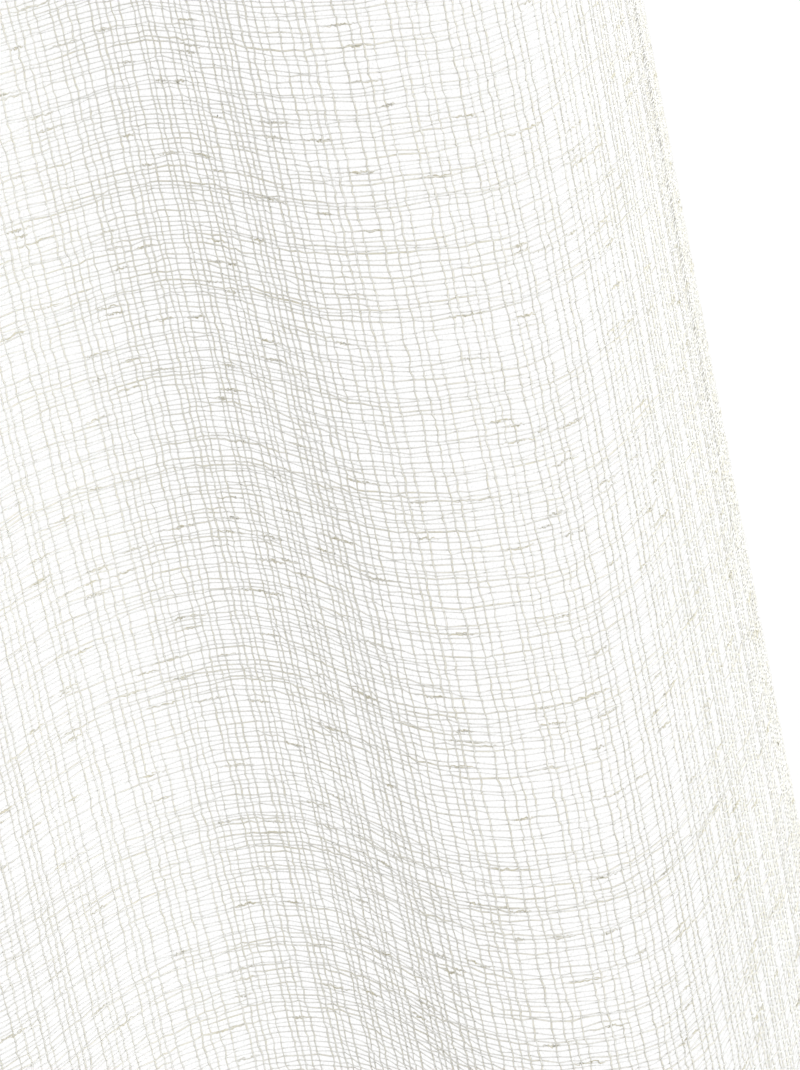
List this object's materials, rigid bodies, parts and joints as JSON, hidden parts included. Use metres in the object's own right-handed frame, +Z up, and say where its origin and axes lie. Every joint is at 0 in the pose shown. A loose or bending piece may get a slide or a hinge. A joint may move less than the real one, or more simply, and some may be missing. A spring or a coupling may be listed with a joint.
{
  "type": "sheer open-weave curtain cloth length",
  "caption": "Length of sheer open-weave curtain cloth with plain narrow hems, held along its top edge and hanging in soft vertical folds.",
  "frame": {"origin": "on the cloth, at the middle of its top edge, where it is held", "axes": "+Z up along the warp, -Y out of the front, +X along the width to the right"},
  "size_m": [0.3009, 0.1093, 0.532],
  "materials": {
    "open_weave": "off-white slubbed open weave, matt and sheer"
  },
  "bodies": {
    "root": {"curtain_cloth": "open_weave"}
  },
  "joints": []
}
